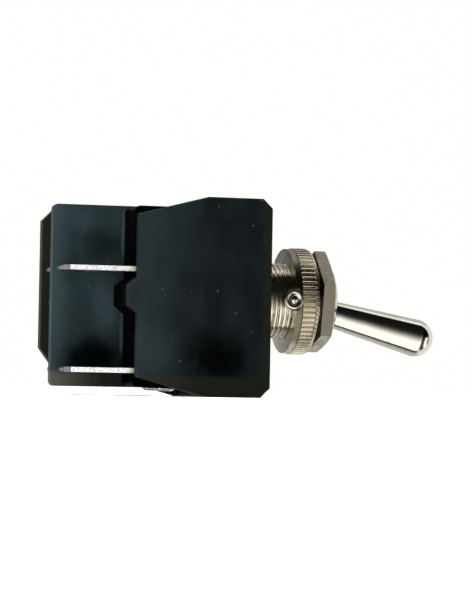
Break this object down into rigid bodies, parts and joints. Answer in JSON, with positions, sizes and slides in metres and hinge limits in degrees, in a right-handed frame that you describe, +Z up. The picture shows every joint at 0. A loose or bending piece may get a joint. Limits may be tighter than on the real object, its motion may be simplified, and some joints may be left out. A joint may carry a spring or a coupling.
{
  "type": "toggle switch",
  "caption": "Two-pole toggle switch with a black moulded housing, a threaded bushing with nuts, a bat lever and flat push-on terminals.",
  "frame": {"origin": "centre of the bushing at the housing's front face, which lies behind the panel", "axes": "+X out of the panel along the bushing, towards the lever; +Z up, away from the side that the lever points to at rest; +Y across the two poles"},
  "size_m": [0.0631, 0.022, 0.031],
  "materials": {
    "housing_black": "matte thermoset moulding",
    "tray_black": "matte thermoset moulding",
    "nickel": "nickel plate, slightly warm",
    "lever_nickel": "polished nickel plate",
    "tin": "tinned brass with sheared edges",
    "steel": "plain steel",
    "copper": "copper strip",
    "silver": "silver contact",
    "actuator_black": "moulded insulating plastic"
  },
  "bodies": {
    "housing": {"cover": "housing_black", "tray_near": "tray_black", "tray_far": "tray_black", "bushing": "nickel", "pivot_pin": "steel", "upper_terminal_near": "tin", "upper_terminal_far": "tin", "lower_terminal_near": "tin", "lower_terminal_far": "tin", "fixed_contact_near": "silver", "fixed_contact_far": "silver", "terminal_rivet_near": "steel", "terminal_rivet_far": "steel", "locating_washer": "nickel", "knurled_ring": "nickel", "hex_nut": "nickel"},
    "lever": {"lever": "lever_nickel", "actuator": "actuator_black", "plunger_spring_near": "steel", "plunger_spring_far": "steel"},
    "plunger_near": {"plunger_near": "steel"},
    "plunger_far": {"plunger_far": "steel"},
    "rocker_near": {"rocker_near": "copper", "moving_contact_near": "silver"},
    "rocker_far": {"rocker_far": "copper", "moving_contact_far": "silver"}
  },
  "joints": [
    {"name": "lever_swing", "type": "hinge", "parent": "housing", "child": "lever", "pos_m": [0.0055, 0, 0], "axis": [0, -1, 0], "range_deg": [0, 28]},
    {"name": "rocker_near_tip", "type": "hinge", "parent": "housing", "child": "rocker_near", "pos_m": [-0.0122, -0.00547, 0], "axis": [0, 1, 0], "range_deg": [0, 14]},
    {"name": "rocker_far_tip", "type": "hinge", "parent": "housing", "child": "rocker_far", "pos_m": [-0.0122, 0.00347, 0], "axis": [0, 1, 0], "range_deg": [0, 14]},
    {"name": "plunger_near_push", "type": "slide", "parent": "lever", "child": "plunger_near", "axis": [0.9703, 0, -0.2419], "range_m": [0, 0.0009], "stiffness_N_per_m": 1200, "springref_m": -0.001, "deforming": ["plunger_spring_near"]},
    {"name": "plunger_far_push", "type": "slide", "parent": "lever", "child": "plunger_far", "axis": [0.9703, 0, -0.2419], "range_m": [0, 0.0009], "stiffness_N_per_m": 1200, "springref_m": -0.001, "deforming": ["plunger_spring_far"]}
  ],
  "couplings": [
    {"joint": "rocker_near_tip", "follows": "lever_swing", "ratio": 0.5},
    {"joint": "rocker_far_tip", "follows": "lever_swing", "ratio": 0.5}
  ]
}
